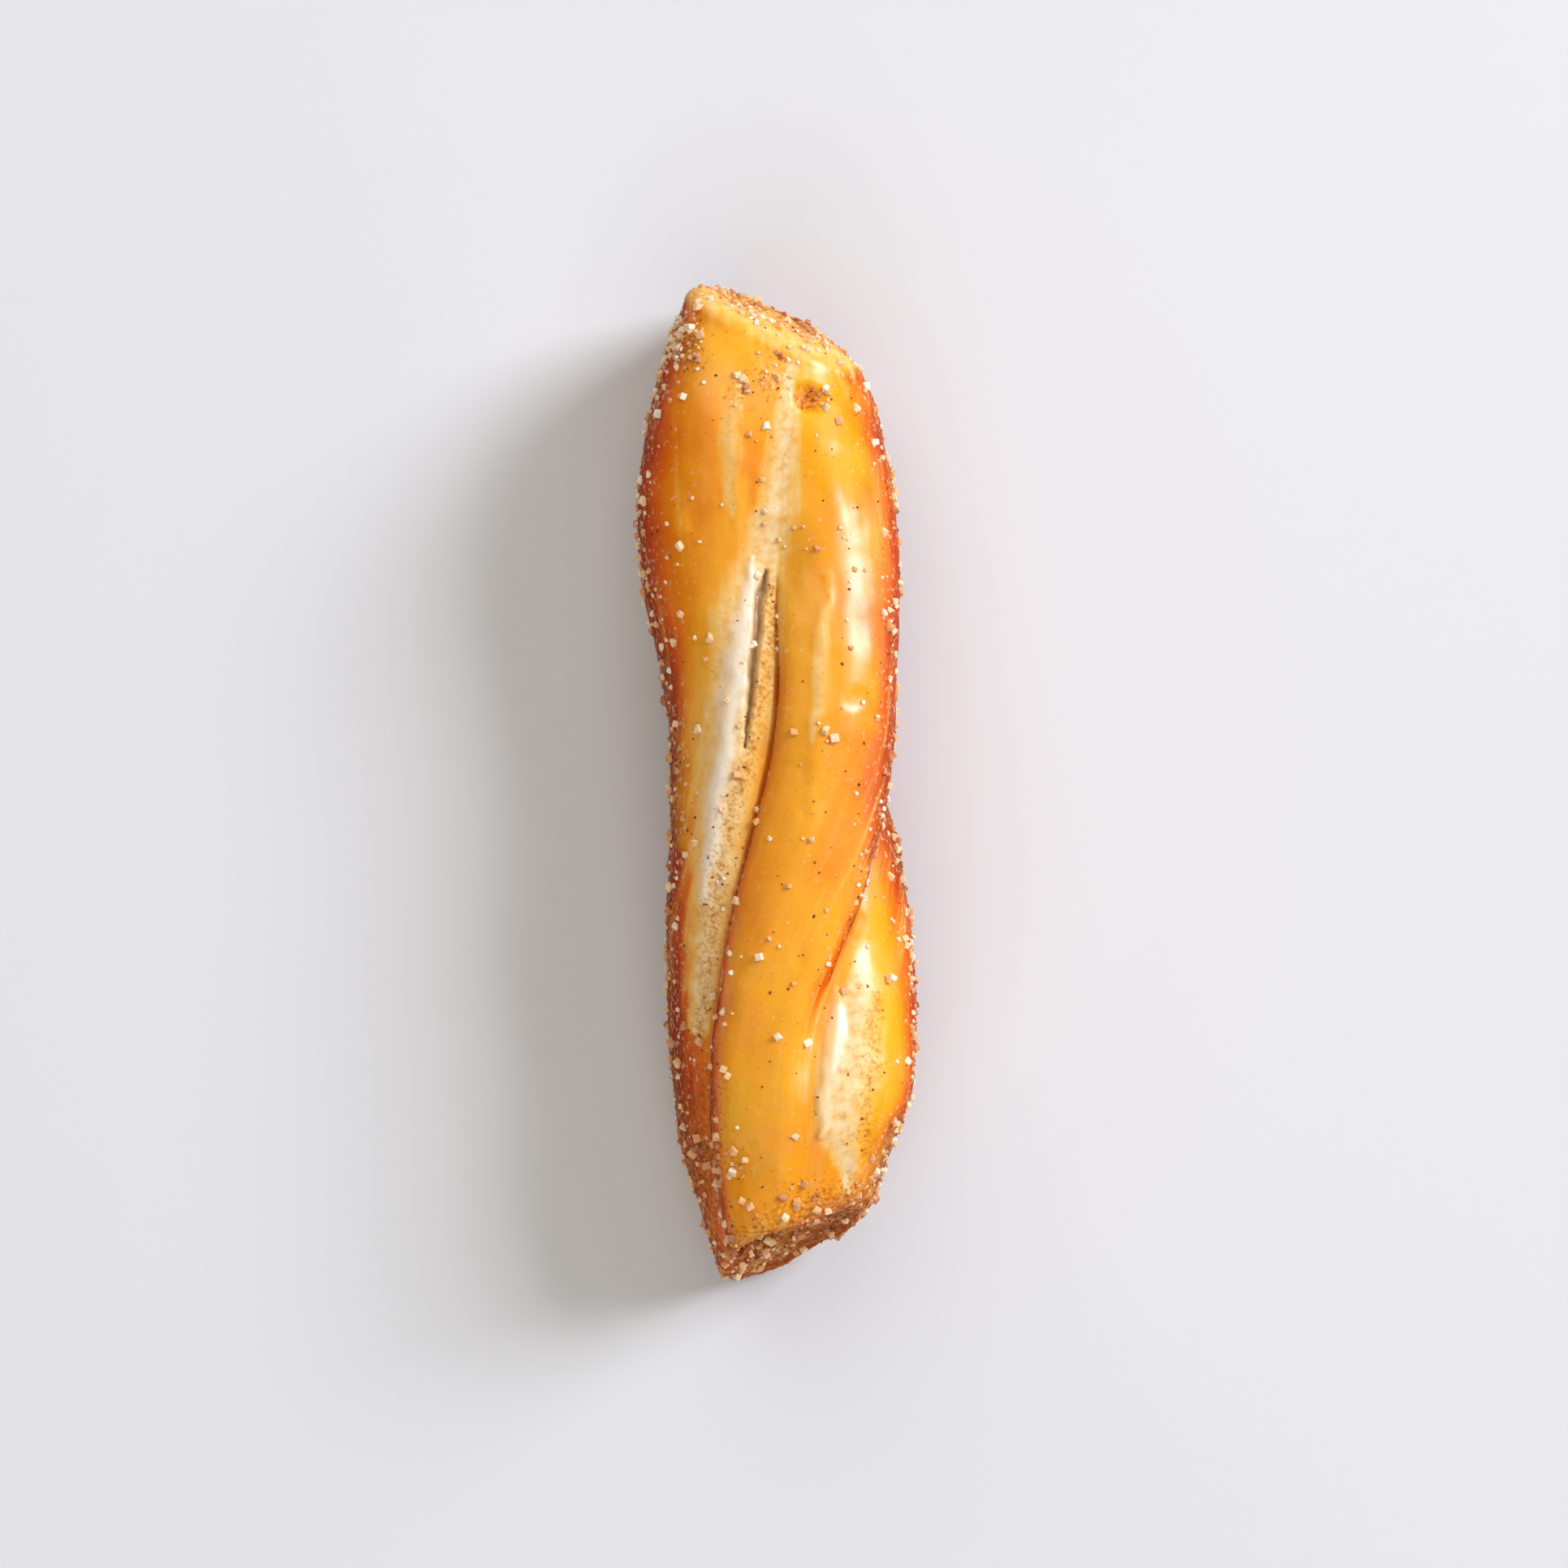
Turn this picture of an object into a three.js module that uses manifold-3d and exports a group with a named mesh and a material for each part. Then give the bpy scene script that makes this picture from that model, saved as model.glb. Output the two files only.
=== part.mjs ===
// A bite-sized twisted pretzel stick: three dough lobes twisted together and baked into one piece.
// It lies along Y on its flattened underside. Millimetres, +Z up, origin under the middle of its box.
import * as THREE from "three";
import { mergeVertices } from "three/addons/utils/BufferGeometryUtils.js";
import Module from "manifold-3d";

// Overall size of the baked stick
const axisLength = 51.2; // between the middles of the two cut ends
const upperWideHalf = 7.35; // half width where two lobes lie side by side, towards +Y
const lowerWideHalf = 6.9; // the same towards -Y
const narrowHalf = 6.2; // half width where one lobe lies on top
const flattening = 1; // how far the narrow way has settled into a flat underside
const crownFullness = 0.2; // how much fuller the shoulders beside the top are than a plain oval's

// How the section turns along the stick
const uprightAt = 0.4; // Y where the wide way of the section stands upright
const halfTurnLength = 26.8; // length in which the section makes half a turn
const bow = 0.1; // how far the middle of the stick bows to +X
const upperBow = 0.55; // how far the half towards +Y bows to -X
const upperBowEnds = 24; // Y where that bow ends; it starts at the middle

// The cut ends
const taperLength = 8; // the shoulder that narrows towards each end
const endHalf = 4.35; // half width left at the cut, the narrow way
const cornerRound = 1.4; // rounding between the shoulder and the cut face
const cornerFlare = 0.3; // half width gained across that rounding
const endDome = 0.5; // how far the middle of a cut face stands proud
const topSlant = 0.5; // Y lost per X across the +Y cut
const bottomSlant = 0.42; // Y gained per X across the -Y cut
const topLean = 0.24; // how far the +Y cut leans in per Z
const bottomLean = 0.34; // how far the -Y cut leans in per Z
const slantFrom = 10; // the slant sets in this far from each cut
const slantBy = 0.5; // and is complete this far from it

// The grooves between the lobes, in order round the section. All angles are in degrees. A groove lies
// `high` about the axis (0 on top, 90 at +X) where the section has turned past `from`, and `low` where
// it has turned past `to`. Its depth fades to the share `faded` between the turns `fadeFrom` and
// `fadeTo`. `before` and `after` say how far it reaches into the lobes on its two sides, as a share of
// the lobe: a small reach is a steep edge.
const grooves = [
  {
    high: 5,
    low: -62,
    from: 64,
    to: -164,
    depth: 1.35,
    fadeFrom: 58,
    fadeTo: 105,
    faded: 0.3,
    before: 0.6,
    after: 0.36,
  },
  {
    high: 114,
    low: 12,
    from: 44,
    to: -110,
    depth: 1.4,
    fadeFrom: -56,
    fadeTo: -124,
    faded: 0.3,
    before: 0.36,
    after: 0.5,
  },
  {
    high: 242,
    low: 155,
    from: 51,
    to: -110,
    depth: 1.2,
    fadeFrom: 58,
    fadeTo: 105,
    faded: 0.8,
    before: 0.45,
    after: 0.45,
  },
];
const grooveSharpness = 2.2; // over 1 pinches the groove into a valley

// Facets
const facetsPerLobe = 20;
const shoulderSteps = 9;
const middleSteps = 22;
const faceSteps = 3;
const cornerSteps = 3;

const { clamp, degToRad, euclideanModulo, lerp, smoothstep } = THREE.MathUtils;
const half = axisLength / 2;
const fullTurn = 2 * Math.PI;

// 0 at `from` and before, 1 at `to` and past it, smooth between; `to` may lie below `from`
function ease(value, from, to) {
  return smoothstep((value - from) / (to - from), 0, 1);
}

// How far the section has turned at station y, in degrees
function turnAt(y) {
  return (180 * (y - uprightAt)) / halfTurnLength;
}

// Angle of the groove with this number, in radians; the count runs on past a full turn
function grooveAngle(number, turn) {
  const { high, low, from, to } = grooves[number % grooves.length];
  const laps = Math.floor(number / grooves.length);
  return degToRad(lerp(high, low, ease(turn, from, to))) + laps * fullTurn;
}

// How deep a groove cuts, `away` from it as a share of the lobe on that side
function grooveDip(number, turn, away, side) {
  const groove = grooves[number % grooves.length];
  const depth = groove.depth * lerp(1, groove.faded, ease(turn, groove.fadeFrom, groove.fadeTo));
  return depth * clamp(1 - away / groove[side], 0, 1) ** grooveSharpness;
}

function wideHalfAt(y) {
  return lerp(lowerWideHalf, upperWideHalf, ease(y, -half, half));
}

// How far the axis of the stick lies to +X at station y
function axisAt(y) {
  const upper = Math.sin(Math.PI * clamp(y / upperBowEnds, 0, 1)) ** 2;
  return bow * (1 - (y / half) ** 2) - upperBow * upper;
}

// Half width of the plain turning oval at station y, towards an angle
function ovalRadius(y, angle) {
  const offWide = angle - degToRad(turnAt(y));
  return 1 / Math.hypot(Math.cos(offWide) / wideHalfAt(y), Math.sin(offWide) / narrowHalf);
}

// How far the dough stands above the plain oval where that is `rise` above the axis; none at its very top
function shoulderLift(y, rise) {
  const turn = degToRad(turnAt(y));
  const crown = Math.hypot(wideHalfAt(y) * Math.cos(turn), narrowHalf * Math.sin(turn));
  return crownFullness * Math.max(rise, 0) * (1 - (rise / crown) ** 2);
}

// One end of the turned blank, from the axis out over the cut face and up the shoulder, at +Y
function endProfile() {
  const cornerHalf = endHalf + cornerFlare;
  const faceHalf = endHalf - cornerRound;
  const points = [];
  for (let i = 0; i < faceSteps; i++) {
    const share = i / faceSteps;
    points.push(new THREE.Vector2(faceHalf * share, half + endDome * (1 - share * share)));
  }
  const corner = new THREE.QuadraticBezierCurve(
    new THREE.Vector2(faceHalf, half),
    new THREE.Vector2(endHalf, half),
    new THREE.Vector2(cornerHalf, half - cornerRound),
  );
  points.push(...corner.getPoints(cornerSteps));
  for (let i = 1; i <= shoulderSteps; i++) {
    const share = i / shoulderSteps;
    const radius = lerp(cornerHalf, narrowHalf, Math.sin((share * Math.PI) / 2));
    points.push(new THREE.Vector2(radius, half - cornerRound - taperLength * share));
  }
  return points;
}

// A plain body of revolution along Y, as thick along its middle as the section's narrow way
function turnedBlank() {
  const top = endProfile();
  const shoulder = top[top.length - 1].y;
  const middle = [];
  for (let i = 1; i < middleSteps; i++) {
    middle.push(new THREE.Vector2(narrowHalf, lerp(shoulder, -shoulder, i / middleSteps)));
  }
  const bottom = top.map((point) => new THREE.Vector2(point.x, -point.y)).reverse();
  const profile = [...top, ...middle, ...bottom].reverse();
  return new THREE.LatheGeometry(profile, facetsPerLobe * grooves.length);
}

// Moves each point of the blank out to the twisted, grooved section and slants both cuts.
// A third of the blank becomes a lobe, so that its edges run along the grooves.
function twistDough(geometry) {
  const position = geometry.attributes.position;
  const point = new THREE.Vector3();
  for (let i = 0; i < position.count; i++) {
    point.fromBufferAttribute(position, i);
    const y = point.y;
    const turn = turnAt(y);
    const laps = euclideanModulo(Math.atan2(point.x, point.z), fullTurn) / fullTurn;
    const lobe = Math.floor(laps * grooves.length);
    const along = laps * grooves.length - lobe;
    const angle = lerp(grooveAngle(lobe, turn), grooveAngle(lobe + 1, turn), along);
    const dip = grooveDip(lobe, turn, along, "after") + grooveDip(lobe + 1, turn, 1 - along, "before");
    const fullness = Math.hypot(point.x, point.z) / narrowHalf;
    const oval = ovalRadius(y, angle);
    const radius = fullness * (oval - dip);
    const x = radius * Math.sin(angle);
    const z = radius * Math.cos(angle) + fullness * shoulderLift(y, oval * Math.cos(angle));
    const upper = ease(y, half - slantFrom, half - slantBy) * (topSlant * x + topLean * z);
    const lower = ease(y, slantFrom - half, slantBy - half) * (bottomSlant * x + bottomLean * z);
    position.setXYZ(i, x + axisAt(y), y - upper + lower, z);
  }
  return geometry;
}

// A closed geometry as a solid
function solidOf(wasm, geometry) {
  const bare = geometry.clone();
  bare.deleteAttribute("normal");
  bare.deleteAttribute("uv");
  const merged = mergeVertices(bare, 1e-4);
  const mesh = new wasm.Mesh({
    numProp: 3,
    vertProperties: merged.attributes.position.array,
    triVerts: new Uint32Array(merged.index.array),
  });
  return new wasm.Manifold(mesh);
}

// A solid as a geometry
function geometryOf(solid) {
  const mesh = solid.getMesh();
  const geometry = new THREE.BufferGeometry();
  geometry.setAttribute("position", new THREE.BufferAttribute(mesh.vertProperties, 3));
  geometry.setIndex(new THREE.BufferAttribute(mesh.triVerts, 1));
  geometry.computeVertexNormals();
  return geometry;
}

// The soft dough settles flat on the baking band: what lies under the band's surface is cut away
function settleOnBand(wasm, geometry) {
  const bandDepth = upperWideHalf + lowerWideHalf;
  const bandSpan = 2 * axisLength;
  const band = new THREE.BoxGeometry(bandSpan, bandSpan, bandDepth);
  band.translate(0, 0, flattening - narrowHalf - bandDepth / 2);
  return geometryOf(solidOf(wasm, geometry).subtract(solidOf(wasm, band)));
}

// Puts the underside on z = 0 with the middle of the box over the origin
function centreOnBase(geometry) {
  geometry.computeBoundingBox();
  const middle = geometry.boundingBox.getCenter(new THREE.Vector3());
  return geometry.translate(-middle.x, -middle.y, -geometry.boundingBox.min.z);
}

const wasm = await Module();
wasm.setup();

const bakedCrust = new THREE.MeshStandardMaterial({ color: 0xe08a24, roughness: 0.38, metalness: 0 });
const dough = centreOnBase(settleOnBand(wasm, twistDough(turnedBlank())));
const stick = new THREE.Mesh(dough, bakedCrust);
stick.name = "pretzel_stick";

const pretzel = new THREE.Group();
pretzel.add(stick);

export default pretzel;
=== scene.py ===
import math
import random
import bpy
import bmesh
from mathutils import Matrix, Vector, geometry, noise


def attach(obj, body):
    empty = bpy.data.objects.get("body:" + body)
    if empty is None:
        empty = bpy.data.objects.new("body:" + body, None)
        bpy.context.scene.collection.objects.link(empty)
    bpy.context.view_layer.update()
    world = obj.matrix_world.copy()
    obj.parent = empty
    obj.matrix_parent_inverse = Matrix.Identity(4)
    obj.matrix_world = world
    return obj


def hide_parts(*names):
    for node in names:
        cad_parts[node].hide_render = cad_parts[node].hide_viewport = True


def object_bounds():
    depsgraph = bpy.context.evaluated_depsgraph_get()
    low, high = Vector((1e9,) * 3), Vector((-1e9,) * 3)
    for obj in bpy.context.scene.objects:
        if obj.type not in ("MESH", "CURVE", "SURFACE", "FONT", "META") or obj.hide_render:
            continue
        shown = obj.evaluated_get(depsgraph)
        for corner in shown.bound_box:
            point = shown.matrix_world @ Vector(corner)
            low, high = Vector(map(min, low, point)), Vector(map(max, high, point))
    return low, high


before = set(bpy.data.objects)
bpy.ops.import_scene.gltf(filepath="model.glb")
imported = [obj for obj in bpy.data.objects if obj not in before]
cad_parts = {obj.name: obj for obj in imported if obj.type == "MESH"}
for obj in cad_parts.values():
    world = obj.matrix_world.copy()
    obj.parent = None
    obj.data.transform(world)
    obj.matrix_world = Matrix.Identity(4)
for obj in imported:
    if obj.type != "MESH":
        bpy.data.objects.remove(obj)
cadLow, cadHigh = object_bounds()
metresPerMm = 0.001


def mix(start, end, share):
    return start + (end - start) * share


def clamp(value):
    return min(max(value, 0.0), 1.0)


def ease(value, start, end):  # 0 at start, 1 at end, smooth between; end may be the lower one
    share = clamp((value - start) / (end - start))
    return share * share * (3 - 2 * share)


def linearColour(hexCode):  # sRGB hex to the linear values that shaders take
    channels = [int(hexCode[place:place + 2], 16) / 255 for place in (1, 3, 5)]
    return (*[c / 12.92 if c <= 0.04045 else ((c + 0.055) / 1.055) ** 2.4 for c in channels], 1.0)


def addNode(tree, kind, inputs=None, links=None, stops=None, **settings):
    node = tree.nodes.new(kind)
    for name, value in settings.items():
        setattr(node, name, value)
    for socket, value in (inputs or {}).items():
        node.inputs[socket].default_value = value
    for socket, source in (links or {}).items():
        tree.links.new(source, node.inputs[socket])
    if stops:
        ramp = node.color_ramp
        while len(ramp.elements) < len(stops):
            ramp.elements.new(1.0)
        for element, (position, hexCode) in zip(ramp.elements, stops):
            element.position = position
            element.color = linearColour(hexCode)
    return node


def unevenness(point, size, seed, octaves=2):  # -1 to 1, with lumps about `size` mm across
    where = Vector(point) / size + Vector((seed * 17.3, seed * 5.1, seed * 9.7))
    return noise.fractal(where, 1.0, 2.0, octaves, noise_basis="PERLIN_ORIGINAL")


# The dough, all sizes in millimetres and angles in degrees
doughSettings = {
    "axisLength": 51.2,
    "upperWideHalf": 7.35,
    "lowerWideHalf": 6.9,
    "narrowHalf": 6.2,
    "flattening": 1.0,
    "flatEdgeRound": 0.7,
    "uprightAt": 0.4,
    "halfTurnLength": 26.8,
    "bow": 0.1,
    "upperBow": 0.55,
    "upperBowEnds": 24.0,
    "taperLength": 8.0,
    "endHalf": 4.35,
    "cornerRound": 1.4,
    "cornerFlare": 0.3,
    "topSlant": 0.5,
    "bottomSlant": 0.42,
    "topLean": 0.24,
    "bottomLean": 0.34,
    "slantFrom": 10.0,
    "slantBy": 0.5,
    "grooveSharpness": 2.2,
    "crownFullness": 0.2,
    "pointsAround": 240,
    "pointsAlong": 370,
    "grooveCrowding": 0.4,  # draws points towards the grooves, where the detail is
}
# Grooves in order round the section: where each lies, how deep, and how it meets the lobes beside it
grooves = [
    {"high": 5, "low": -62, "setsFrom": 64, "setsTo": -164, "depth": 1.35, "fadeFrom": 58, "fadeTo": 105,
     "faded": 0.3, "before": 0.6, "after": 0.36, "lapBefore": 0.0, "lapAfter": 0.45,
     "creaseFrom": 52, "creaseTo": 78},
    {"high": 114, "low": 12, "setsFrom": 44, "setsTo": -110, "depth": 1.4, "fadeFrom": -56, "fadeTo": -124,
     "faded": 0.3, "before": 0.36, "after": 0.5, "lapBefore": 0.4, "lapAfter": 0.0,
     "creaseFrom": -52, "creaseTo": -84},
    {"high": 242, "low": 155, "setsFrom": 51, "setsTo": -110, "depth": 1.2, "fadeFrom": 58, "fadeTo": 105,
     "faded": 0.8, "before": 0.45, "after": 0.45, "lapBefore": 0.2, "lapAfter": 0.0,
     "creaseFrom": 90, "creaseTo": 150},
]
creaseSettings = {"depth": 0.22, "reach": 0.04, "lapPeak": 0.05}


def grooveAngle(number, turn):
    groove = grooves[number % len(grooves)]
    share = ease(turn, groove["setsFrom"], groove["setsTo"])
    return math.radians(mix(groove["high"], groove["low"], share)) + number // len(grooves) * math.tau


def grooveStrength(groove, turn):
    return mix(1, groove["faded"], ease(turn, groove["fadeFrom"], groove["fadeTo"]))


def creaseStrength(groove, turn):  # lobes grow together past the crease, and no line shows there
    return 1 - ease(turn, groove["creaseFrom"], groove["creaseTo"])


def grooveDip(groove, turn, away, side):  # the rolled valley and the fine crease at its bottom
    left = clamp(1 - away / groove[side])
    sharp, rounded = left ** doughSettings["grooveSharpness"], ease(left, 0, 1) ** 2
    crease = clamp(1 - away / creaseSettings["reach"]) ** 1.5
    parted = creaseStrength(groove, turn)
    valley = grooveStrength(groove, turn) * groove["depth"] * mix(rounded, sharp, parted)
    return valley + parted * creaseSettings["depth"] * crease


def grooveLap(groove, turn, away, side):  # how far a lobe's edge hangs over the groove beside it
    rise = away / creaseSettings["lapPeak"]
    return creaseStrength(groove, turn) * groove[side] * rise * math.exp(1 - rise)


def blankOutline(reach):  # radius, and depth behind the cut, this far along the outline from the pole
    s = doughSettings
    faceHalf = s["endHalf"] - s["cornerRound"]
    cornerLength = s["cornerRound"] * math.pi / 2
    if reach < faceHalf:
        return reach, 0.0
    if reach < faceHalf + cornerLength:
        bend = (reach - faceHalf) / s["cornerRound"]
        radius = faceHalf + (s["cornerRound"] + s["cornerFlare"]) * math.sin(bend)
        return radius, s["cornerRound"] * (1 - math.cos(bend))
    past = reach - faceHalf - cornerLength
    shoulder = math.sin(min(past / s["taperLength"], 1) * math.pi / 2)
    return mix(s["endHalf"] + s["cornerFlare"], s["narrowHalf"], shoulder), s["cornerRound"] + past


def doughPoint(laps, outlineShare):  # where a point of the plain ball goes on the twisted stick
    s = doughSettings
    half = s["axisLength"] / 2
    fullReach = half - s["cornerRound"] + s["endHalf"] - s["cornerRound"] + s["cornerRound"] * math.pi / 2
    reach = 2 * fullReach * outlineShare
    end = 1 if reach < fullReach else -1
    blankRadius, back = blankOutline(min(reach, 2 * fullReach - reach))
    y = end * (half - back)
    turn = 180 * (y - s["uprightAt"]) / s["halfTurnLength"]
    lobe = int(laps * len(grooves))
    along = laps * len(grooves) - lobe
    along -= s["grooveCrowding"] * math.sin(math.tau * along) / math.tau
    before, after = grooves[lobe % len(grooves)], grooves[(lobe + 1) % len(grooves)]
    angle = mix(grooveAngle(lobe, turn), grooveAngle(lobe + 1, turn), along)
    wideHalf = mix(s["lowerWideHalf"], s["upperWideHalf"], ease(y, -half, half))
    offWide = angle - math.radians(turn)
    oval = 1 / math.hypot(math.cos(offWide) / wideHalf, math.sin(offWide) / s["narrowHalf"])
    dip = grooveDip(before, turn, along, "after") + grooveDip(after, turn, 1 - along, "before")
    lap = grooveLap(after, turn, 1 - along, "lapBefore") - grooveLap(before, turn, along, "lapAfter")
    radius = blankRadius / s["narrowHalf"] * (oval - dip)
    shown = angle + lap / s["narrowHalf"]
    x, z = radius * math.sin(shown), radius * math.cos(shown)
    top = blankRadius / s["narrowHalf"] * math.hypot(wideHalf * math.cos(math.radians(turn)),
                                                     s["narrowHalf"] * math.sin(math.radians(turn)))
    rise = blankRadius / s["narrowHalf"] * oval * math.cos(shown)
    if 0 < rise < top:
        z += s["crownFullness"] * rise * (1 - (rise / top) ** 2)
    upper = ease(y, half - s["slantFrom"], half - s["slantBy"]) * (s["topSlant"] * x + s["topLean"] * z)
    lower = ease(y, s["slantFrom"] - half, s["slantBy"] - half) * (s["bottomSlant"] * x + s["bottomLean"] * z)
    axisAt = s["bow"] * (1 - (y / half) ** 2)
    axisAt -= s["upperBow"] * math.sin(math.pi * clamp(y / s["upperBowEnds"])) ** 2
    place = Vector((x + axisAt, y - upper + lower, z + s["narrowHalf"] - s["flattening"]))
    inGroove = max(creaseStrength(before, turn) * clamp(1 - along / 0.12),
                   creaseStrength(after, turn) * clamp(1 - (1 - along) / 0.12))
    fibre = Vector((blankRadius * math.sin(laps * math.tau), y, blankRadius * math.cos(laps * math.tau)))
    return place, {"fibre": fibre, "y": y, "back": back, "end": end, "face": blankRadius / s["endHalf"],
                   "inGroove": inGroove}


def settleFlat(z):  # the underside lies flat, with a soft edge where the dough curves up from it
    edge = doughSettings["flatEdgeRound"]
    if z >= edge:
        return z
    return 0.0 if z <= -edge else (z + edge) ** 2 / (4 * edge)


def rollDough():
    bm = bmesh.new()
    bmesh.ops.create_uvsphere(bm, u_segments=doughSettings["pointsAround"],
                              v_segments=doughSettings["pointsAlong"], radius=1)
    facts = []
    for vert in bm.verts:
        laps = math.atan2(vert.co.y, vert.co.x) / math.tau % 1.0
        outlineShare = math.acos(max(-1, min(1, vert.co.z))) / math.pi
        place, fact = doughPoint(laps, outlineShare)
        place.z = settleFlat(place.z)
        vert.co = place
        facts.append(fact)
    low = Vector([min(v.co[axis] for v in bm.verts) for axis in range(3)])
    high = Vector([max(v.co[axis] for v in bm.verts) for axis in range(3)])
    middle = (low + high) / 2
    bmesh.ops.translate(bm, verts=bm.verts, vec=(-middle.x, -middle.y, -low.z))
    bm.normal_update()
    return bm, facts


marksAcross = 0.35  # every mark below is placed from a line this far to +X from the middle of the box
# What the oven and the twist left on the surface, with painted highlights and shade among them: strokes across the
# top, each a path of (x, y, half width)
surfaceStrokes = {
    "stretch": [  # pale inner dough, bared where the glazed skin tore; the first stroke's wide middle also paints a sheen
        [(0.9, 22.2, 0.5), (0.45, 18.0, 1.1), (0.0, 14.8, 1.5), (-0.9, 11.9, 1.9), (-1.8, 8.6, 2.4),
         (-2.4, 4.8, 2.6), (-3.0, 1.5, 2.4), (-3.5, -2.3, 1.9), (-4.0, -5.6, 1.5), (-4.5, -8.9, 1.3),
         (-4.9, -12.8, 0.9)],
        [(4.2, -8.6, 0.2), (3.4, -12.4, 1.8), (3.0, -15.2, 2.3), (2.5, -18.0, 1.8), (2.7, -20.4, 0.8), (3.0, -22.0, 0.2)],
    ],
    "thin": [  # painted highlights: pale sheen streaks along two lobes, over the folds there
        [(2.7, 10.2, 0.2), (2.3, 7.4, 0.8), (1.95, 5.0, 0.75), (1.7, 2.2, 0.2)],
        [(-2.0, 21.6, 0.2), (-2.35, 19.0, 0.9), (-2.45, 16.8, 0.8), (-2.4, 14.2, 0.2)],
    ],
    "golden": [  # thin skin that stayed yellow
        [(1.6, 21.0, 1.5), (1.0, 16.0, 2.6), (0.4, 11.0, 3.0), (1.6, 5.0, 2.0), (0.8, -3.0, 1.8),
         (-0.2, -10.0, 2.2), (-0.4, -17.0, 2.0)],
        [(4.4, -5.0, 1.2), (4.4, -11.0, 2.4), (3.9, -17.0, 2.8), (3.4, -21.5, 1.8)],
        [(-1.8, 16.0, 0.8), (-2.9, 12.0, 1.5), (-4.1, 7.0, 1.6), (-4.9, 2.0, 1.2), (-5.4, -3.0, 0.8)],
    ],
    "crack": [  # where the bared dough split; its dark brown is painted shade in the split
        [(-0.7, 11.4, 0.1), (-0.9, 10.4, 0.4), (-1.3, 8.0, 0.3), (-1.6, 5.8, 0.36), (-1.75, 4.0, 0.22),
         (-1.95, 2.0, 0.1)],
    ],
    "ridge": [  # bared strands that stand proud beside the split and on the lower lobe, whitened as a painted highlight; the shortest is a painted glint
        [(-1.3, 12.2, 0.1), (-1.5, 10.6, 0.6), (-2.1, 8.2, 0.95), (-2.7, 4.6, 1.0), (-3.4, 1.0, 0.95), (-3.9, -2.6, 0.8),
         (-4.4, -6.0, 0.5)],
        [(2.6, -11.2, 0.3), (2.35, -13.4, 0.8), (1.8, -16.4, 0.7), (1.5, -18.8, 0.3)],
        [(3.3, -19.4, 0.2), (3.3, -20.6, 0.4), (3.1, -21.4, 0.2)],
    ],
    "fold": [  # low soft folds in the skin
        [(2.6, 11.0, 0.5), (2.15, 7.2, 0.9), (2.0, 3.9, 0.9), (1.6, -1.5, 0.5)],
        [(-2.1, 21.2, 0.4), (-2.2, 18.0, 0.7), (-2.1, 14.0, 0.5)],
        [(5.2, 16.5, 0.6), (5.4, 10.0, 0.9), (4.6, 2.0, 0.6)],
        [(2.8, -11.6, 0.6), (2.1, -14.5, 0.9), (1.5, -18.5, 0.7)],
    ],
    "crumb": [  # rough, sandy dough between the split and the lobe that laps it
        [(-0.2, 11.0, 0.3), (-0.6, 8.6, 0.9), (-0.9, 5.8, 1.0), (-1.5, 2.8, 1.1), (-2.6, -0.6, 1.2),
         (-3.5, -4.0, 1.2), (-4.2, -8.4, 1.1), (-4.8, -13.0, 0.8)],
        [(4.6, -11.5, 0.5), (4.3, -15.5, 1.1), (3.7, -19.8, 0.8)],
    ],
}
blisters = [(-4.4, 14.2, 0.9, 0.05), (3.9, 4.4, 0.8, 0.05), (4.6, -14.4, 0.7, 0.03), (0.6, -9.4, 0.7, 0.04),
            (3.6, -7.6, 0.9, 0.05)]  # x, y, radius and depth of each pock
cinnamonPatches = [(-3.2, -19.9, 1.6, 0.3), (-4.6, 23.0, 1.3, 0.45), (0.0, 21.6, 1.8, 0.35),
                   (-1.6, 20.6, 1.3, 0.3)]  # x, y, radius and how thick
dullSpots = [(3.4, 19.6, 3.4, 0.9), (3.8, 16.6, 2.4, 0.8), (5.6, -8.0, 3.0, 0.85), (5.8, -13.0, 3.0, 0.85), (6.0, -18.0, 3.0, 0.8),
             (5.6, 4.2, 2.2, 0.4), (-1.5, -21.5, 3.2, 0.75), (-2.0, 24.4, 3.2, 0.75)]
pits = [(1.8, 20.4, 0.95, 0.4)]  # burst bubbles: x, y, radius and depth
sugarClumps = [(-5.2, 24.1, 1.5, 1.0), (2.5, 20.7, 0.8, 1.0), (0.1, 22.6, 1.4, 0.3), (5.2, -22.4, 1.2, 0.7),
               (-2.3, -25.6, 1.6, 0.4), (-2.9, -20.3, 1.3, 0.3), (-1.6, 20.8, 1.2, 0.25)]  # x, y, radius and how thick
swellings = [(5.4, 20.8, 2.4, 0.55), (7.2, 16.8, 3.2, -0.35)]  # x, y, radius and how far the dough stands out
crustSettings = {
    "swellSize": 7.0, "swell": 0.16,
    "lumpSize": 2.2, "lump": 0.06,
    "wrinkle": 0.012, "wrinkleAcross": 0.7, "wrinkleAlong": 5.0,
    "crackDepth": 0.35, "ridgeHeight": 0.13, "foldHeight": 0.08, "crumbSize": 0.5, "crumb": 0.06,
    "gritSize": 0.55, "grit": 0.09,
    "faceHollowTop": 0.35, "faceHollowBottom": 0.9, "faceCrustSize": 1.5, "faceCrust": 0.25,
    "lipBack": 0.5, "lipWidth": 0.8,
    "cavityAt": Vector((-1.9, -25.4, 7.5)), "cavityReach": 3.6, "cavity": 1.5,  # bubble bared by the lower cut
}


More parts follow.
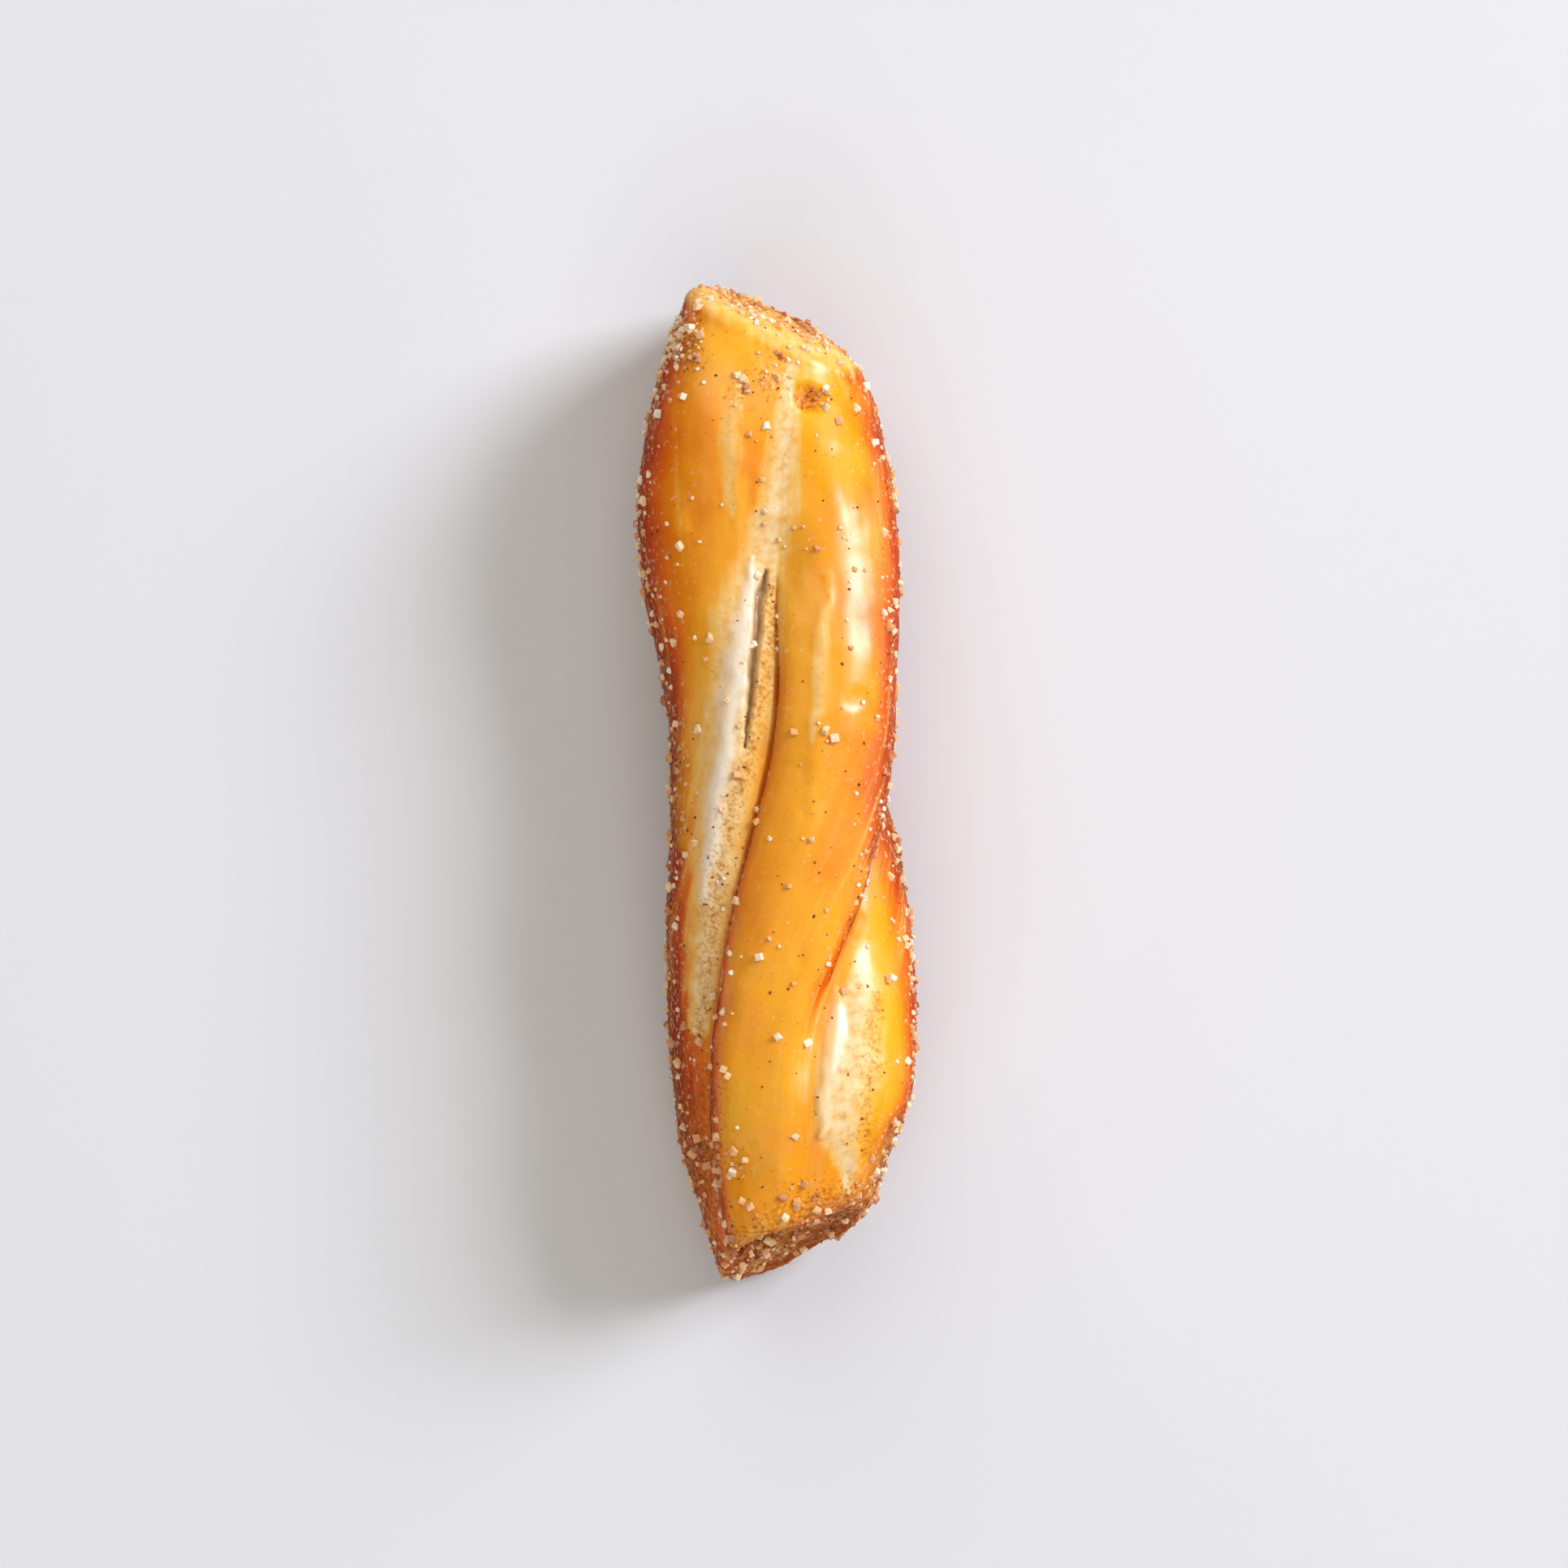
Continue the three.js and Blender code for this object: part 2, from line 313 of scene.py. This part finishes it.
def strokeCover(x, y, path):  # 1 along the middle of a stroke, 0 past its half width
    best = 0.0
    for (ax, ay, aWidth), (bx, by, bWidth) in zip(path, path[1:]):
        if not min(ay, by) - 2 < y < max(ay, by) + 2:
            continue
        _, share = geometry.intersect_point_line(Vector((x, y)), Vector((ax, ay)), Vector((bx, by)))
        share = clamp(share)
        away = math.hypot(x - mix(ax, bx, share), y - mix(ay, by, share))
        best = max(best, 1 - away / mix(aWidth, bWidth, share))
    return clamp(best)


def surfaceMarks(point, normal):  # how strongly each kind of stroke covers a point, 0 to 1
    facing = ease(normal.z, 0.05, 0.35)
    marks = {}
    for kind, paths in surfaceStrokes.items():
        waver = unevenness(point, 1.6, len(kind)) * (0.12 if kind == "crack" else 0.25)
        waver += unevenness(point, 0.5, len(kind)) * 0.06
        cover = max(strokeCover(point.x + waver, point.y, path) for path in paths)
        marks[kind] = facing * cover
    return marks


def spotCover(point, x, y, radius):  # 1 in the middle of a round spot seen from above, 0 past its ragged edge
    away = math.hypot(point.x - x, point.y - y) / radius * (1 + 0.6 * unevenness(point, 1.1, 7))
    return 1 - ease(away, 0.3, 1.2)


def coatedness(point, normal, fact):  # how thickly cinnamon sugar lies: undersides and the lower end most
    patches = unevenness(point, 3.2, 4, 3)
    side = 1 - ease(normal.z, 0.0, 0.7)
    low = 1 - ease(point.z, 1.5, 8.0)
    nearEnd = 1 - ease(fact["back"] + 1.2 * patches, 0.2, 3.4)
    endShare = 0.08 if fact["end"] > 0 else 0.55
    tailOfLeftLobe = ease(fact["y"], -9, -19) * ease(-point.x, 2.6, 5.2)
    sides = clamp(side * (0.12 + 0.6 * low + 0.55 * patches))
    return clamp(max(nearEnd * (endShare + 0.5 * patches), sides, 0.6 * tailOfLeftLobe * (1 + patches)))


surfaceFacts = ("stretch", "golden", "browning", "coated", "crack", "crumb", "ridge", "glaze",
                "sugarCover", "cinnamonCover")


def bakeSurface(bm, facts):  # moves each point along its normal and notes what lies there
    s = crustSettings
    layers = {name: bm.verts.layers.float.new(name) for name in surfaceFacts}
    strand = bm.verts.layers.float_vector.new("strand")
    moves = []
    for vert, fact in zip(bm.verts, facts):
        point, normal = vert.co - Vector((marksAcross, 0, 0)), vert.normal
        marks = surfaceMarks(point, normal)
        coated = coatedness(point, normal, fact)
        coated = max(coated, *(share * spotCover(point, x, y, radius) for x, y, radius, share in cinnamonPatches))
        fibre = fact["fibre"]
        onFace = clamp(1.15 - fact["face"]) * (1 - ease(fact["back"], 0, 1)) / 1.15
        onTop = ease(normal.z, -0.1, 0.3)
        pit = onTop * max(spotCover(point, x, y, radius) for x, y, radius, depth in pits)
        clump = max(share * spotCover(point, x, y, radius) for x, y, radius, share in sugarClumps)
        clump *= ease(normal.z, -0.5, 0.0)
        crustyFace = ease(onFace, 0, 0.4) * (0.3 if fact["end"] > 0 else 0.7)
        crumb = max(marks["crumb"], crustyFace, 0.7 * pit)
        split = ease(marks["crack"], 0.0, 0.75)
        lift = s["swell"] * unevenness(point, s["swellSize"], 1) + s["lump"] * unevenness(point, s["lumpSize"], 2)
        stretched = (fibre.x / s["wrinkleAcross"], fibre.y / s["wrinkleAlong"], fibre.z / s["wrinkleAcross"])
        lift += s["wrinkle"] * unevenness(stretched, 1, 3, 3)
        lift += s["ridgeHeight"] * ease(marks["ridge"], 0, 1) + s["foldHeight"] * ease(marks["fold"], 0, 1)
        lift -= s["crackDepth"] * split
        for x, y, radius, height in swellings:
            lift += height * math.exp(-((point.x - x) ** 2 + (point.y - y) ** 2) / radius ** 2)
        lift += s["crumb"] * crumb * unevenness(point, s["crumbSize"], 5, 3)
        lift += s["grit"] * coated * unevenness(point, s["gritSize"], 6, 3)
        lift -= onTop * max(depth * spotCover(point, x, y, radius) for x, y, radius, depth in pits)
        for x, y, radius, depth in blisters:
            away = math.hypot(point.x - x, point.y - y) / radius * (1 + 0.4 * unevenness(point, 0.8, 7))
            if away < 1.6 and normal.z > 0:
                lift += depth * (0.3 * math.exp(-((away - 1) / 0.3) ** 2) - (1 - ease(away, 0.2, 1.0)))
        hollow = s["faceHollowTop"] if fact["end"] > 0 else s["faceHollowBottom"]
        cavity = ease(onFace, 0.02, 0.25) * (1 - ease((point - s["cavityAt"]).length, 0.5, s["cavityReach"]))
        sink = hollow * ease(onFace, 0.05, 0.8) * (1 + 0.4 * unevenness(point, 2.0, 8)) + s["cavity"] * cavity
        sink -= s["faceCrust"] * ease(onFace, 0, 0.3) * unevenness(point, s["faceCrustSize"], 9, 3)
        outward = normal.lerp(Vector((0, fact["end"], 0)), ease(onFace, 0.0, 0.25)).normalized()
        moves.append(outward * (lift - sink))
        lip = math.exp(-((fact["back"] - s["lipBack"]) / s["lipWidth"]) ** 2) * ease(normal.z, -0.2, 0.3)
        lip *= 1 if fact["end"] > 0 else 0.35
        side = 1 - ease(normal.z, 0.1, 0.75)
        # Browning: random patches, darker towards the bottom and darker on the sides, partly the bake and partly
        # painted shade; the -X term is painted shade on the side away from the window lamp
        toastAndShade = 0.18 + 0.2 * unevenness(point, 9, 10) + 0.2 * (1 - ease(point.z, 1, 7))
        toastAndShade += 0.68 * (1 - ease(normal.z, 0.15, 0.94)) + 0.16 * ease(-point.x, 3.0, 6.0)
        faceBake = 0.0 if fact["end"] > 0 else 0.3 * onFace
        # The thin strokes add painted highlight streaks to the stretch layer
        vert[layers["stretch"]] = max(marks["stretch"], 0.55 * marks["thin"], 0.4 * lip, (0.4 if fact["end"] > 0 else 0.2) * onFace)
        vert[layers["golden"]] = marks["golden"]
        vert[layers["ridge"]] = marks["ridge"]
        dull = max(share * spotCover(point, x, y, radius) for x, y, radius, share in dullSpots)
        dull = max(dull, 0.85 * ease(-point.x, 3.4, 5.6))  # the side away from the window keeps little shine
        vert[layers["glaze"]] = ease(normal.z, 0.35, 0.85) * (1 - 0.7 * marks["crumb"]) * (1 - dull)
        # Painted shade also browns the groove bottoms, the pit and the hollow in the lower cut; faceBake is the lower
        # cut's own darker bake
        vert[layers["browning"]] = clamp(toastAndShade + 0.2 * fact["inGroove"] + 0.5 * pit + 0.6 * cavity + faceBake)
        vert[layers["coated"]] = max(coated, 0.5 * pit, 0.8 * cavity)
        # Painted shade: the crack layer darkens the split, the groove bottoms and the hollow in the lower cut
        shadedGroove = 0.2 * fact["inGroove"] ** 2 * ease(normal.z, -0.4, 0.2)
        vert[layers["crack"]] = max(0.75 * split, shadedGroove, 0.5 * cavity)
        vert[layers["crumb"]] = crumb
        clear = ease(point.z, 0.35, 0.9)  # none where the underside rests
        patchy = 0.55 + unevenness(point, 2.4, 11, 3)
        rim = math.exp(-(fact["back"] / 0.7) ** 2)
        thick = max(0.7 * side, coated, 0.5 * rim)
        vert[layers["sugarCover"]] = clear * clamp(0.03 + 0.42 * patchy * thick + (0.4 + patchy) * clump)
        vert[layers["cinnamonCover"]] = clear * clamp(0.05 + patchy * (coated + 0.2 * crumb + 0.6 * clump))
        vert[strand] = fibre * metresPerMm
    for vert, move in zip(bm.verts, moves):
        vert.co += move
        vert.co.z = max(vert.co.z, 0.0)


def crustMaterial():
    # Egg-washed pretzel dough, baked hard: amber skin under a thin gloss, with pale matt crumb where it tore
    material = bpy.data.materials.new("glazedPretzelCrust")
    material.use_nodes = True
    tree = material.node_tree
    tree.nodes.clear()
    coords = addNode(tree, "ShaderNodeTexCoord").outputs["Object"]
    marks = {name: addNode(tree, "ShaderNodeAttribute", attribute_name=name).outputs["Fac"]
             for name in surfaceFacts[:8]}
    strand = addNode(tree, "ShaderNodeAttribute", attribute_name="strand").outputs["Vector"]
    perMm = 1 / metresPerMm
    # Tone of the skin: patches a few mm across over the browning and painted shade that the shape gives
    patches = addNode(tree, "ShaderNodeTexNoise", {"Scale": perMm / 3.5, "Detail": 4.0}, {"Vector": coords})
    tone = addNode(tree, "ShaderNodeMath", {1: 0.5, 2: -0.25}, {0: patches.outputs["Fac"]}, operation="MULTIPLY_ADD")
    tone = addNode(tree, "ShaderNodeMath", links={0: tone.outputs[0], 1: marks["browning"]}, operation="ADD")
    skin = addNode(tree, "ShaderNodeValToRGB", links={0: tone.outputs[0]},
                   stops=[(0.0, "#FFB41C"), (0.26, "#FF9A08"), (0.5, "#E96A04"), (0.75, "#BC3A01"),
                          (1.0, "#8C2401")])
    # Fine streaks along each lobe, where the skin was drawn out as it was twisted
    drawn = addNode(tree, "ShaderNodeMapping", {"Scale": (perMm / 0.5, perMm / 6.0, perMm / 0.5)},
                    {"Vector": strand})
    streaks = addNode(tree, "ShaderNodeTexNoise", {"Scale": 1.0, "Detail": 3.0}, {"Vector": drawn.outputs[0]})
    streakShare = addNode(tree, "ShaderNodeMapRange", {1: 0.4, 2: 0.75, 3: 0.0, 4: 0.12}, {0: streaks.outputs["Fac"]})
    skin = addNode(tree, "ShaderNodeMix", {7: linearColour("#FFC040")},
                   {0: streakShare.outputs[0], 6: skin.outputs[0]}, data_type="RGBA")
    goldShare = addNode(tree, "ShaderNodeMapRange", {1: 0.0, 2: 0.9, 3: 0.0, 4: 0.5}, {0: marks["golden"]},
                        interpolation_type="SMOOTHSTEP")
    skin = addNode(tree, "ShaderNodeMix", {7: linearColour("#FFB41A")},
                   {0: goldShare.outputs[0], 6: skin.outputs[2]}, data_type="RGBA")
    # Torn dough: the skin thins to gold, then bare cream dough, a little darker in its pores
    ragged = addNode(tree, "ShaderNodeMath", {1: 0.5}, {0: streaks.outputs["Fac"]}, operation="SUBTRACT")
    ragged = addNode(tree, "ShaderNodeMath", {1: 0.8}, {0: ragged.outputs[0], 2: marks["stretch"]},
                     operation="MULTIPLY_ADD")
    thinned = addNode(tree, "ShaderNodeMapRange", {1: 0.0, 2: 0.45, 3: 0.0, 4: 0.85}, {0: ragged.outputs[0]},
                      interpolation_type="SMOOTHSTEP")
    bared = addNode(tree, "ShaderNodeMapRange", {1: 0.08, 2: 1.0, 3: 0.0, 4: 0.94}, {0: ragged.outputs[0]},
                    interpolation_type="SMOOTHSTEP")
    pores = addNode(tree, "ShaderNodeTexNoise", {"Scale": perMm / 0.5, "Detail": 5.0}, {"Vector": coords})
    inner = addNode(tree, "ShaderNodeValToRGB", links={0: pores.outputs["Fac"]},
                    stops=[(0.25, "#E8A75C"), (0.5, "#FBD492"), (0.75, "#FFE7BB")])
    # Painted highlight: the ridge strokes whiten the bared dough almost to white
    paintedRidgeHighlight = addNode(tree, "ShaderNodeMapRange", {1: 0.0, 2: 0.9, 3: 0.0, 4: 0.75}, {0: marks["ridge"]},
                     interpolation_type="SMOOTHSTEP")
    inner = addNode(tree, "ShaderNodeMix", {7: linearColour("#FFF3E4")},
                    {0: paintedRidgeHighlight.outputs[0], 6: inner.outputs[0]}, data_type="RGBA")
    dough = addNode(tree, "ShaderNodeMix", {7: linearColour("#FFBE48")},
                    {0: thinned.outputs[0], 6: skin.outputs[2]}, data_type="RGBA")
    dough = addNode(tree, "ShaderNodeMix", links={0: bared.outputs[0], 6: dough.outputs[2], 7: inner.outputs[2]},
                    data_type="RGBA")
    # Painted shade: the crack layer takes the dough towards dark brown
    shadedDough = addNode(tree, "ShaderNodeMix", {7: linearColour("#7A4420")}, {0: marks["crack"], 6: dough.outputs[2]},
                   data_type="RGBA")
    # Frost of sugar dust, too fine to build: pale pink specks, closest together on the flanks
    frostGrain = addNode(tree, "ShaderNodeTexNoise", {"Scale": perMm / 0.3, "Detail": 3.0}, {"Vector": coords})
    frost = addNode(tree, "ShaderNodeMath", {1: 0.16}, {0: marks["browning"], 2: frostGrain.outputs["Fac"]},
                    operation="MULTIPLY_ADD")
    frost = addNode(tree, "ShaderNodeMapRange", {1: 0.68, 2: 0.82, 3: 0.0, 4: 0.5}, {0: frost.outputs[0]})
    shadedDough = addNode(tree, "ShaderNodeMix", {7: linearColour("#FFD9B4")}, {0: frost.outputs[0], 6: shadedDough.outputs[2]},
                   data_type="RGBA")
    # Cinnamon dust: a thin powder in the crumb, thick where the coat lies, a few specks everywhere
    dustGrain = addNode(tree, "ShaderNodeTexNoise", {"Scale": perMm / 0.22, "Detail": 5.0}, {"Vector": coords})
    inCrumb = addNode(tree, "ShaderNodeMath", {1: 0.45}, {0: marks["crumb"]}, operation="MULTIPLY")
    hold = addNode(tree, "ShaderNodeMath", links={0: inCrumb.outputs[0], 1: marks["coated"]}, operation="MAXIMUM")
    hold = addNode(tree, "ShaderNodeMapRange", {1: 0.0, 2: 1.0, 3: -0.3, 4: 0.22}, {0: hold.outputs[0]})
    dust = addNode(tree, "ShaderNodeMath", links={0: dustGrain.outputs["Fac"], 1: hold.outputs[0]}, operation="ADD")
    dust = addNode(tree, "ShaderNodeMapRange", {1: 0.34, 2: 0.66, 3: 0.0, 4: 0.85}, {0: dust.outputs[0]})
    powder = addNode(tree, "ShaderNodeValToRGB", links={0: pores.outputs["Fac"]},
                     stops=[(0.3, "#8A3A0E"), (0.55, "#B4602A"), (0.75, "#DE9A60")])
    dusted = addNode(tree, "ShaderNodeMix", links={0: dust.outputs[0], 6: shadedDough.outputs[2], 7: powder.outputs[0]},
                     data_type="RGBA")
    # Relief too fine for the mesh: drawn-out skin, dust and tiny blisters
    speckle = addNode(tree, "ShaderNodeTexNoise", {"Scale": perMm / 0.8, "Detail": 4.0}, {"Vector": coords})
    relief = addNode(tree, "ShaderNodeMath", {1: 0.25}, {0: streaks.outputs["Fac"], 2: speckle.outputs["Fac"]},
                     operation="MULTIPLY_ADD")
    relief = addNode(tree, "ShaderNodeMath", links={0: dust.outputs[0], 1: dustGrain.outputs["Fac"],
                                                    2: relief.outputs[0]}, operation="MULTIPLY_ADD")
    bump = addNode(tree, "ShaderNodeBump", {"Strength": 0.35, "Distance": 0.00012}, {"Height": relief.outputs[0]})
    roughness = addNode(tree, "ShaderNodeMapRange", {1: 0.0, 2: 1.0, 3: 0.5, 4: 0.8}, {0: dust.outputs[0]})
    bald = addNode(tree, "ShaderNodeMapRange", {1: 0.0, 2: 0.7, 3: 0.85, 4: 0.0}, {0: dust.outputs[0]})
    gloss = addNode(tree, "ShaderNodeMath", links={0: bald.outputs[0], 1: marks["glaze"]}, operation="MULTIPLY")
    shader = addNode(tree, "ShaderNodeBsdfPrincipled",
                     {"Specular IOR Level": 0.04, "Coat Roughness": 0.34, "Coat IOR": 1.75, "Subsurface Weight": 0.3,
                      "Subsurface Radius": (1.0, 0.38, 0.12), "Subsurface Scale": 0.0012},
                     {"Base Color": dusted.outputs[2], "Roughness": roughness.outputs[0],
                      "Coat Weight": gloss.outputs[0], "Normal": bump.outputs[0]})
    addNode(tree, "ShaderNodeOutputMaterial", links={"Surface": shader.outputs[0]})
    return material


def makePiece(name, bm, material):
    mesh = bpy.data.meshes.new(name)
    bm.to_mesh(mesh)
    bm.free()
    mesh.polygons.foreach_set("use_smooth", [True] * len(mesh.polygons))
    mesh.materials.append(material)
    piece = bpy.data.objects.new(name, mesh)
    bpy.context.scene.collection.objects.link(piece)
    return piece


print("rolling and twisting the dough")
doughMesh, doughFacts = rollDough()
print("baking the surface")
bakeSurface(doughMesh, doughFacts)
cadBottomMiddle = Vector(((cadLow.x + cadHigh.x) / 2, (cadLow.y + cadHigh.y) / 2, cadLow.z))
bmesh.ops.scale(doughMesh, vec=(metresPerMm,) * 3, verts=doughMesh.verts)
bmesh.ops.translate(doughMesh, verts=doughMesh.verts, vec=cadBottomMiddle)
dough = makePiece("baked_dough", doughMesh, crustMaterial())
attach(dough, "root")
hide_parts("pretzel_stick")

# Sugar and cinnamon stuck to the glaze; sizes in millimetres, counts to a square millimetre
sugarSettings = {"name": "sugar_crystals", "cover": "sugarCover", "smallest": 0.16, "largest": 0.5, "spacing": 0.2,
                 "count": 11.0, "seed": 11, "shapes": 5}
cinnamonSettings = {"name": "cinnamon_crumbs", "cover": "cinnamonCover", "smallest": 0.06, "largest": 0.26,
                    "spacing": 0.1, "count": 6.0, "seed": 23, "shapes": 4}


def crystalShape(bm, dice):  # a broken cube: granulated sugar with some corners chipped off
    bmesh.ops.create_cube(bm, size=1)
    bmesh.ops.scale(bm, verts=bm.verts, vec=(1, dice.uniform(0.7, 1), dice.uniform(0.6, 0.95)))
    for _ in range(2):
        way = Vector([dice.uniform(-1, 1) for _ in range(3)]).normalized()
        everything = bm.verts[:] + bm.edges[:] + bm.faces[:]
        bmesh.ops.bisect_plane(bm, geom=everything, plane_co=way * 0.4, plane_no=way, clear_outer=True)
        bmesh.ops.holes_fill(bm, edges=[edge for edge in bm.edges if edge.is_boundary])
    bmesh.ops.bevel(bm, geom=bm.edges[:], offset=0.07, affect="EDGES", segments=1, profile=0.5, material=-1)


def crumbShape(bm, dice):  # a ragged fleck of ground bark
    bmesh.ops.create_icosphere(bm, subdivisions=1, radius=0.5)
    bmesh.ops.scale(bm, verts=bm.verts, vec=(1, dice.uniform(0.5, 0.8), dice.uniform(0.4, 0.7)))
    for vert in bm.verts:
        vert.co *= dice.uniform(0.7, 1.25)


def grainShapes(settings, makeShape, material):
    dice = random.Random(settings["seed"])
    shapes = bpy.data.collections.new(settings["name"] + "Shapes")
    for number in range(settings["shapes"]):
        bm = bmesh.new()
        makeShape(bm, dice)
        mesh = bpy.data.meshes.new(f"{settings['name']}{number}")
        bm.to_mesh(mesh)
        bm.free()
        mesh.materials.append(material)
        shapes.objects.link(bpy.data.objects.new(mesh.name, mesh))
    return shapes


def sprinkle(settings, makeShape, material):  # scatters grains over the dough and keeps them as one mesh
    shapes = grainShapes(settings, makeShape, material)
    tree = bpy.data.node_groups.new(settings["name"], "GeometryNodeTree")
    tree.interface.new_socket("Geometry", in_out="INPUT", socket_type="NodeSocketGeometry")
    tree.interface.new_socket("Geometry", in_out="OUTPUT", socket_type="NodeSocketGeometry")
    bare = addNode(tree, "NodeGroupInput")
    cover = addNode(tree, "GeometryNodeInputNamedAttribute", {"Name": settings["cover"]}, data_type="FLOAT")
    spots = addNode(tree, "GeometryNodeDistributePointsOnFaces",
                    {"Distance Min": settings["spacing"] * metresPerMm, "Density Max": settings["count"] * 1e6,
                     "Seed": settings["seed"]},
                    {"Mesh": bare.outputs[0], "Density Factor": cover.outputs["Attribute"]},
                    distribute_method="POISSON")
    turn = addNode(tree, "FunctionNodeRandomValue", {1: (math.tau,) * 3, "Seed": 1}, data_type="FLOAT_VECTOR")
    chance = addNode(tree, "FunctionNodeRandomValue", {"Seed": 2}, data_type="FLOAT")
    mostlySmall = addNode(tree, "ShaderNodeMath", {1: 1.7}, {0: chance.outputs[1]}, operation="POWER")
    size = addNode(tree, "ShaderNodeMapRange",
                   {3: settings["smallest"] * metresPerMm, 4: settings["largest"] * metresPerMm},
                   {0: mostlySmall.outputs[0]})
    choice = addNode(tree, "GeometryNodeCollectionInfo",
                     {"Collection": shapes, "Separate Children": True, "Reset Children": True})
    grains = addNode(tree, "GeometryNodeInstanceOnPoints", {"Pick Instance": True},
                     {"Points": spots.outputs["Points"], "Instance": choice.outputs[0],
                      "Rotation": turn.outputs[0], "Scale": size.outputs[0]})
    shade = addNode(tree, "FunctionNodeRandomValue", {2: 0.0, 3: 0.75, "Seed": 3}, data_type="FLOAT")
    coat = addNode(tree, "GeometryNodeInputNamedAttribute", {"Name": "coated"}, data_type="FLOAT")
    browner = addNode(tree, "ShaderNodeMath", {1: 0.5}, {0: coat.outputs["Attribute"], 2: shade.outputs[1]},
                      operation="MULTIPLY_ADD")
    toned = addNode(tree, "GeometryNodeStoreNamedAttribute", {"Name": "tone"},
                    {"Geometry": grains.outputs[0], "Value": browner.outputs[0]}, data_type="FLOAT", domain="INSTANCE")
    whole = addNode(tree, "GeometryNodeRealizeInstances", links={"Geometry": toned.outputs[0]})
    addNode(tree, "NodeGroupOutput", links={0: whole.outputs[0]})
    carrier = bpy.data.objects.new("carrier", dough.data)
    bpy.context.scene.collection.objects.link(carrier)
    carrier.modifiers.new("sprinkle", "NODES").node_group = tree
    depsgraph = bpy.context.evaluated_depsgraph_get()
    mesh = bpy.data.meshes.new_from_object(carrier.evaluated_get(depsgraph), preserve_all_data_layers=True,
                                           depsgraph=depsgraph)
    bpy.data.objects.remove(carrier)
    mesh.name = settings["name"]
    piece = bpy.data.objects.new(settings["name"], mesh)
    bpy.context.scene.collection.objects.link(piece)
    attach(piece, "root")
    mesh.calc_loop_triangles()
    print(settings["name"], "triangles", len(mesh.loop_triangles))
    return piece


def sugarMaterial():
    # Granulated sugar: bright milky crystals, some tinted by the cinnamon they were tumbled with
    material = bpy.data.materials.new("cinnamonSugarCrystal")
    material.use_nodes = True
    tree = material.node_tree
    tree.nodes.clear()
    tone = addNode(tree, "ShaderNodeAttribute", attribute_name="tone").outputs["Fac"]
    colour = addNode(tree, "ShaderNodeValToRGB", links={0: tone},
                     stops=[(0.0, "#FFEED2"), (0.3, "#FDD4A0"), (0.65, "#EBA66A"), (1.0, "#B06A3A")])
    shader = addNode(tree, "ShaderNodeBsdfPrincipled",
                     {"Roughness": 0.2, "IOR": 1.54, "Subsurface Weight": 0.4,
                      "Subsurface Radius": (1.0, 0.8, 0.6), "Subsurface Scale": 0.0004},
                     {"Base Color": colour.outputs[0]})
    addNode(tree, "ShaderNodeOutputMaterial", links={"Surface": shader.outputs[0]})
    return material


def cinnamonMaterial():
    # Ground cinnamon: dull red-brown flecks that keep no highlight
    material = bpy.data.materials.new("groundCinnamon")
    material.use_nodes = True
    tree = material.node_tree
    tree.nodes.clear()
    tone = addNode(tree, "ShaderNodeAttribute", attribute_name="tone").outputs["Fac"]
    colour = addNode(tree, "ShaderNodeValToRGB", links={0: tone},
                     stops=[(0.0, "#6E3416"), (0.5, "#93491F"), (1.0, "#C57A42")])
    shader = addNode(tree, "ShaderNodeBsdfPrincipled", {"Roughness": 0.85, "IOR": 1.45},
                     {"Base Color": colour.outputs[0]})
    addNode(tree, "ShaderNodeOutputMaterial", links={"Surface": shader.outputs[0]})
    return material


print("sprinkling sugar and cinnamon")
sprinkle(sugarSettings, crystalShape, sugarMaterial())
sprinkle(cinnamonSettings, crumbShape, cinnamonMaterial())

print("camera, light and floor")
cameraSettings = {"across": 0.00035, "height": 0.208, "lens": 85, "leanDegrees": -1.4}
camera = bpy.data.objects.new("camera", bpy.data.cameras.new("camera"))
camera.data.lens = cameraSettings["lens"]
camera.location = (cameraSettings["across"], 0, cameraSettings["height"])
camera.rotation_euler = (0, 0, math.radians(cameraSettings["leanDegrees"]))
bpy.context.scene.collection.objects.link(camera)
bpy.context.scene.camera = camera

lamps = {
    "windowSide": {"place": (0.76, 0.40, 0.50), "size": 0.42, "power": 11.8, "tint": "#EAF0FF"},
    "headSide": {"place": (-0.12, 0.66, 0.56), "size": 0.90, "power": 3.3, "tint": "#FFFCF6"},
    "footSide": {"place": (-0.12, -0.66, 0.56), "size": 0.90, "power": 3.3, "tint": "#FFFCF6"},
}
for name, settings in lamps.items():
    lamp = bpy.data.objects.new(name, bpy.data.lights.new(name, "AREA"))
    lamp.data.energy = settings["power"]
    lamp.data.size = settings["size"]
    lamp.data.color = linearColour(settings["tint"])[:3]
    lamp.location = settings["place"]
    lamp.rotation_euler = (-Vector(settings["place"])).to_track_quat("-Z", "Y").to_euler()
    bpy.context.scene.collection.objects.link(lamp)

world = bpy.data.worlds.new("softRoom")
world.use_nodes = True
world.node_tree.nodes["Background"].inputs["Color"].default_value = linearColour("#F2F3F6")
world.node_tree.nodes["Background"].inputs["Strength"].default_value = 0.15
bpy.context.scene.world = world
bpy.context.scene.view_settings.view_transform = "Standard"  # keeps the amber of the crust clean and strong

paper = bpy.data.materials.new("matWhitePaper")  # plain pale ground, so that only the stick draws the eye
paper.use_nodes = True
paper.node_tree.nodes["Principled BSDF"].inputs["Base Color"].default_value = linearColour("#E6E4E2")
paper.node_tree.nodes["Principled BSDF"].inputs["Roughness"].default_value = 0.9
floorMesh = bmesh.new()
bmesh.ops.create_grid(floorMesh, x_segments=1, y_segments=1, size=1.5)
floor = makePiece("floor", floorMesh, paper)
